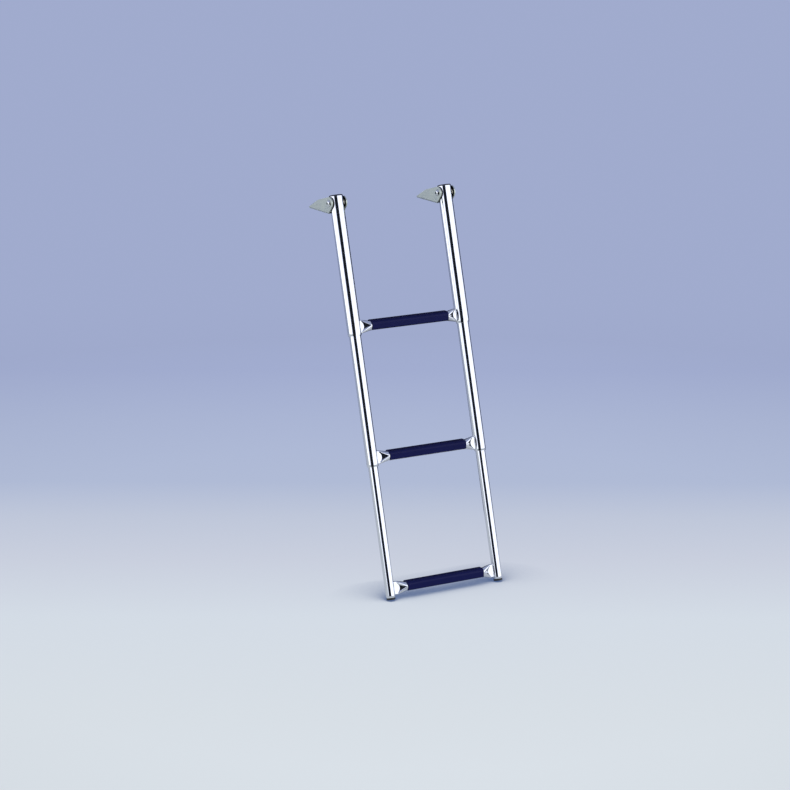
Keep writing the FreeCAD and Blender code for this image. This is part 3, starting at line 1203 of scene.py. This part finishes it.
    def nut(self, side: Side) -> None:
        """Build one hexagon nut with chamfered corners and a round locking collar.

        Args:
            side: Bracket that it closes.
        """
        grip = self.half_width()
        node = side.value + "_lock_nut"
        piece = extrude(hexagon(self.nut_flats), grip, self.nut_height + self.collar_height,
                        node + "_cold_formed", self.ladder.at_pivot(side))
        flat = self.nut_flats / 2.0 - 0.1
        past_corner = self.nut_flats / 2.0 / math.cos(math.pi / 6.0) + 0.1
        top = grip + self.nut_height
        end = top + self.collar_height
        turned = [
            (0.0, grip), (flat, grip), (past_corner, grip + self.nut_foot_chamfer),
            (past_corner, top - self.nut_top_chamfer), (flat, top), (self.collar_radius, top),
            (self.collar_radius, end - self.collar_edge),
            (self.collar_radius - self.collar_edge, end), (0.0, end)]
        combine(piece, lathe(turned, "chamfers", self.across_pivot(side), 72), Cut.KEEP_COMMON)
        thread = self.bolt_radius
        low, high = grip - 1.0, top + self.cut_margin
        bore = [(0.0, low), (thread, low), (thread, high), (0.0, high)]
        combine(piece, lathe(bore, "thread_drill", self.across_pivot(side), 72), Cut.AWAY)
        soften(piece, crease=25.0)
        dress(piece, self.finishes.fastener, "brackets", "fastener_steel", node)


@dataclass
class RunningGear:
    """Sleeves, guide bushes and stop collars, which keep their own shapes."""

    finishes: Finishes

    def build(self) -> None:
        """Give each its turned plastic."""
        for side in Side:
            for name in ("pivot_sleeve", "upper_guide_bush", "middle_stop_collar",
                         "lower_guide_bush", "inner_stop_collar"):
                node = frame["nodes"][side.value + "_" + name]
                node.data.materials[0] = self.finishes.bush
                log.info("%s: turned acetal", node.name)


def seen_directly(tree: bpy.types.NodeTree) -> bpy.types.NodeSocket:
    """Give 1 for rays that show the surroundings, straight or by mirror or glass.

    Args:
        tree: Tree of the floor or the world.

    Returns:
        The socket that holds it.
    """
    path = add_node(tree, "ShaderNodeLightPath")
    mirrored = add_node(tree, "ShaderNodeMath", {
        0: path.outputs["Is Camera Ray"], 1: path.outputs["Is Glossy Ray"]},
        operation="MAXIMUM")
    through = add_node(tree, "ShaderNodeMath", {
        0: mirrored.outputs["Value"], 1: path.outputs["Is Transmission Ray"]},
        operation="MAXIMUM")
    return through.outputs["Value"]


@dataclass(frozen=True)
class BlackCloth:
    """Black cotton, woven and left dull.

    Polished metal shows it as a line of near black with a cast of blue.
    """

    name: str = "black_cloth"
    colour: str = "#1e222b"

    def material(self) -> bpy.types.Material:
        """Build the cloth, the same dark tone in any light.

        Returns:
            The material.
        """
        material, tree = new_material(self.name)
        shader = add_node(tree, "ShaderNodeEmission", {"Color": linear(self.colour)})
        add_node(tree, "ShaderNodeOutputMaterial", {"Surface": shader.outputs["Emission"]})
        return material


@dataclass(frozen=True)
class MattPaper:
    """Background paper, rolled and uncoated. Its lengths are in metres.

    The eye gets a painted pool of pale light in front of the ladder that turns lavender far away,
    and a soft blue painted shadow where the ladder stands.
    """

    far_colour: str
    name: str = "matt_paper"
    tints: tuple[tuple[float, str], ...] = (
        (0.0, "#d6dde4"), (0.15, "#d4dce6"), (0.26, "#cad0df"), (0.35, "#c0c8db"),
        (0.43, "#b1bcd7"), (0.6, "#acb7d6"), (0.75, "#a6b1d5"))
    pool_lead: float = 0.9
    pool_depth: float = 4.0
    glow: float = 0.905
    # Painted shadow on the glow: its colour, the reach of the occlusion test, the open shares
    # between which it fades out, and the lean and lift of the open hemisphere
    shade: str = "#465e8c"
    shade_reach: float = 0.14
    shade_low: float = 0.64
    shade_high: float = 0.98
    shade_lean: float = 0.8
    shade_lift: float = 0.6
    lamp_near: float = 1.2
    lamp_far: float = 2.6
    lamp_share: float = 0.2

    def material(self, aim: Vector, away: Vector, height: float) -> bpy.types.Material:
        """Build the paper.

        Args:
            aim: Point on the ladder that the camera is aimed from.
            away: Level direction in which the camera looks.
            height: Height of the floor.

        Returns:
            The material.
        """
        material, tree = new_material(self.name)
        where = add_node(tree, "ShaderNodeTexCoord")
        # Painted pool of light: the colour fades from pale near the ladder to lavender along the
        # view
        pool = aim.dot(away) - self.pool_lead
        depth = add_node(tree, "ShaderNodeVectorMath", {
            0: where.outputs["Object"], 1: away}, operation="DOT_PRODUCT")
        share = add_node(tree, "ShaderNodeMapRange", {
            "Value": depth.outputs["Value"],
            "From Min": pool, "From Max": pool + self.pool_depth})
        tint = add_node(tree, "ShaderNodeValToRGB", {"Fac": share.outputs["Result"]})
        ramp = tint.color_ramp
        for index, (place, code) in enumerate((*self.tints, (1.0, self.far_colour))):
            stop = ramp.elements[index] if index < 2 else ramp.elements.new(place)
            stop.position = place
            stop.color = linear(code)
        # Painted shadow: ambient occlusion turns the glow's colour toward the shade colour. The
        # hemisphere that counts as open leans to the front, so the painted shadow lies behind what
        # stands on the floor
        towards = add_node(tree, "ShaderNodeCombineXYZ", {
            "X": -away.x * self.shade_lean, "Y": -away.y * self.shade_lean,
            "Z": self.shade_lift})
        open_share = add_node(tree, "ShaderNodeAmbientOcclusion", {
            "Distance": self.shade_reach, "Normal": towards.outputs["Vector"]}, samples=12)
        clear_share = add_node(tree, "ShaderNodeMapRange", {
            "Value": open_share.outputs["AO"],
            "From Min": self.shade_low, "From Max": self.shade_high})
        painted_shadow_tint = add_node(tree, "ShaderNodeMix", {
            "Factor": clear_share.outputs["Result"],
            "A": linear(self.shade), "B": tint.outputs["Color"]}, data_type="RGBA")
        paper = add_node(tree, "ShaderNodeBsdfDiffuse", {"Color": tint.outputs["Color"]})
        glow = add_node(tree, "ShaderNodeEmission", {
            "Color": painted_shadow_tint.outputs["Result"], "Strength": self.glow})
        # Lamplight falls on the floor round the ladder alone, so no lamp leaves a pool
        # of its own far off
        centre = Vector((aim.x, aim.y, height))
        apart = add_node(tree, "ShaderNodeVectorMath", {
            0: where.outputs["Object"], 1: centre}, operation="DISTANCE")
        unlit = add_node(tree, "ShaderNodeMapRange", {
            "Value": apart.outputs["Value"],
            "From Min": self.lamp_near, "From Max": self.lamp_far,
            "To Min": 1.0 - self.lamp_share, "To Max": 1.0})
        dim = add_node(tree, "ShaderNodeMixShader", {
            0: unlit.outputs["Result"], 1: paper.outputs["BSDF"]})
        seen = add_node(tree, "ShaderNodeMixShader", {
            0: seen_directly(tree), 2: glow.outputs["Emission"]})
        both = add_node(tree, "ShaderNodeAddShader", {
            0: dim.outputs["Shader"], 1: seen.outputs["Shader"]})
        under = add_node(tree, "ShaderNodeNewGeometry")
        clear = add_node(tree, "ShaderNodeBsdfTransparent")
        top_only = add_node(tree, "ShaderNodeMixShader", {
            0: under.outputs["Backfacing"], 1: both.outputs["Shader"],
            2: clear.outputs["BSDF"]})
        add_node(tree, "ShaderNodeOutputMaterial", {"Surface": top_only.outputs["Shader"]})
        return material


@dataclass(frozen=True)
class Panel:
    """A big soft lamp, seen by the object alone."""

    name: str
    azimuth: float
    distance: float
    height: float
    width: float
    tall: float
    radiance: float
    mirrored: bool = True

    def build(self, aim: Vector) -> None:
        """Hang the lamp at its bearing, facing the point it lights.

        Args:
            aim: Point that the lamp faces.
        """
        lamp = bpy.data.lights.new(self.name, "AREA")
        lamp.shape = "RECTANGLE"
        lamp.size = self.width
        lamp.size_y = self.tall
        lamp.energy = self.radiance * math.pi * self.width * self.tall
        hung = bpy.data.objects.new(self.name, lamp)
        bearing = math.radians(self.azimuth)
        hung.location = aim + Vector((
            math.sin(bearing) * self.distance, -math.cos(bearing) * self.distance, self.height))
        hung.rotation_mode = "QUATERNION"
        hung.rotation_quaternion = (aim - hung.location).to_track_quat("-Z", "Y")
        hung.visible_camera = False
        hung.visible_glossy = self.mirrored
        bpy.context.scene.collection.objects.link(hung)


@dataclass(frozen=True)
class Flag:
    """A black cloth that only polished metal sees, for the dark lines in it."""

    name: str
    azimuth: float
    spread: float
    near: float
    distance: float = 4.3
    height: float = 4.0
    above_floor: float = 0.003
    steps: int = 12

    def build(self, aim: Vector, floor_height: float, cloth: bpy.types.Material) -> None:
        """Lay the cloth out over the floor and up, as part of a ring round the object.

        Args:
            aim: Middle of the ring.
            floor_height: Height of the floor.
            cloth: Its material.
        """
        mesh = bmesh.new()
        rows = []
        for step in range(self.steps + 1):
            share = step / self.steps - 0.5
            bearing = math.radians(self.azimuth + self.spread * share)
            heading = Vector((math.sin(bearing), -math.cos(bearing), 0.0))
            low = Vector((aim.x, aim.y, floor_height + self.above_floor))
            rows.append([mesh.verts.new(point) for point in (
                low + heading * self.near, low + heading * self.distance,
                low + heading * self.distance + Vector((0.0, 0.0, self.height)))])
        for here, ahead in zip(rows, rows[1:]):
            for index in range(2):
                mesh.faces.new((here[index], ahead[index], ahead[index + 1], here[index + 1]))
        stood = link_mesh(mesh, self.name)
        stood.data.materials.append(cloth)
        stood.visible_camera = False
        stood.visible_diffuse = False
        stood.visible_shadow = False
        stood.visible_transmission = False


@dataclass
class Studio:
    """Pale floor, soft lamps and the camera at the photograph's place."""

    floor_height: float
    azimuth: float = -30.58
    elevation: float = 13.74
    distance: float = 6.23
    lens: float = 122.7
    target: tuple[float, float, float] = (144.5, -175.2, -406.7)
    aim_right: float = -52.6
    aim_up: float = -12.4
    ambient: float = 0.06
    air_colour: str = "#f2f4fa"
    far_colour: str = "#a8b3d7"
    floor_reach: float = 60.0

    def build(self) -> None:
        """Build the camera, lamps, flags, world and floor."""
        scene = bpy.context.scene
        scene.view_settings.view_transform = "Standard"
        aim = Vector(self.target) * MM
        self.camera(aim)
        for panel in (
            Panel("left_panel", azimuth=-106.0, distance=4.6, height=0.9,
                  width=8.0, tall=4.6, radiance=1.2),
            Panel("right_panel", azimuth=36.0, distance=4.6, height=0.9,
                  width=9.6, tall=4.6, radiance=1.2),
            Panel("overhead_panel", azimuth=0.0, distance=0.4, height=3.2,
                  width=1.6, tall=1.6, radiance=0.3),
            Panel("key_panel", azimuth=-30.0, distance=3.0, height=-0.2,
                  width=1.6, tall=1.2, radiance=14.0, mirrored=False),
            Panel("back_fill_panel", azimuth=150.0, distance=3.4, height=0.5,
                  width=2.4, tall=1.6, radiance=2.5, mirrored=False),
        ):
            panel.build(aim)
        cloth = BlackCloth().material()
        for flag in (
            Flag("camera_flag", azimuth=-34.5, spread=51.0, near=0.3),
            Flag("back_flag", azimuth=139.0, spread=78.0, near=0.4),
        ):
            flag.build(aim, self.floor_height, cloth)
        self.world()
        self.floor(aim)

    def camera(self, aim: Vector) -> None:
        """Set the camera up where the photograph was taken from.

        Args:
            aim: Point on the ladder from which its distance is measured.
        """
        bearing, rise = math.radians(self.azimuth), math.radians(self.elevation)
        back = Vector((math.sin(bearing) * math.cos(rise),
                       -math.cos(bearing) * math.cos(rise), math.sin(rise)))
        right = Vector((math.cos(bearing), math.sin(bearing), 0.0))
        up = back.cross(right)
        view = bpy.data.cameras.new("photograph_view")
        view.lens = self.lens
        view.sensor_width = 36.0
        view.clip_end = 200.0
        camera = bpy.data.objects.new("photograph_view", view)
        camera.location = aim + back * self.distance
        seen = aim + right * self.aim_right * MM + up * self.aim_up * MM
        camera.rotation_mode = "QUATERNION"
        camera.rotation_quaternion = (seen - camera.location).to_track_quat("-Z", "Y")
        bpy.context.scene.collection.objects.link(camera)
        bpy.context.scene.camera = camera

    def world(self) -> None:
        """Set even surroundings: plain light for surfaces, the backdrop's colour for the eye."""
        world = bpy.data.worlds.new("studio_air")
        world.use_nodes = True
        tree = world.node_tree
        tree.nodes.clear()
        light = add_node(tree, "ShaderNodeBackground", {
            "Color": linear(self.air_colour), "Strength": self.ambient})
        backdrop = add_node(tree, "ShaderNodeBackground", {
            "Color": linear(self.far_colour), "Strength": 1.0})
        mixed = add_node(tree, "ShaderNodeMixShader", {
            0: seen_directly(tree), 1: light.outputs["Background"],
            2: backdrop.outputs["Background"]})
        add_node(tree, "ShaderNodeOutputWorld", {"Surface": mixed.outputs["Shader"]})
        bpy.context.scene.world = world

    def floor(self, aim: Vector) -> None:
        """Lay the pale floor, with a painted pool of light that fades to the backdrop's colour.

        Args:
            aim: Point on the ladder that the camera is aimed from.
        """
        mesh = bmesh.new()
        reach = self.floor_reach
        corners = [mesh.verts.new((x, y, self.floor_height)) for x, y in (
            (-reach, -reach), (reach, -reach), (reach, reach), (-reach, reach))]
        mesh.faces.new(corners)
        laid = link_mesh(mesh, "floor")
        bearing = math.radians(self.azimuth)
        away = Vector((-math.sin(bearing), math.cos(bearing), 0.0))
        paper = MattPaper(self.far_colour).material(aim, away, self.floor_height)
        laid.data.materials.append(paper)


def main() -> None:
    """Build the studio and every piece of the ladder."""
    logging.basicConfig(level=logging.INFO, format="%(name)s: %(message)s")
    ladder = Ladder.from_frame()
    finishes = Finishes(ladder.lean)
    Studio(cad_box[0].z).build()
    Rails(ladder, finishes).build()
    Steps(ladder, finishes).build()
    Brackets(ladder, finishes).build()
    RunningGear(finishes).build()


if __name__ == "__main__":
    main()
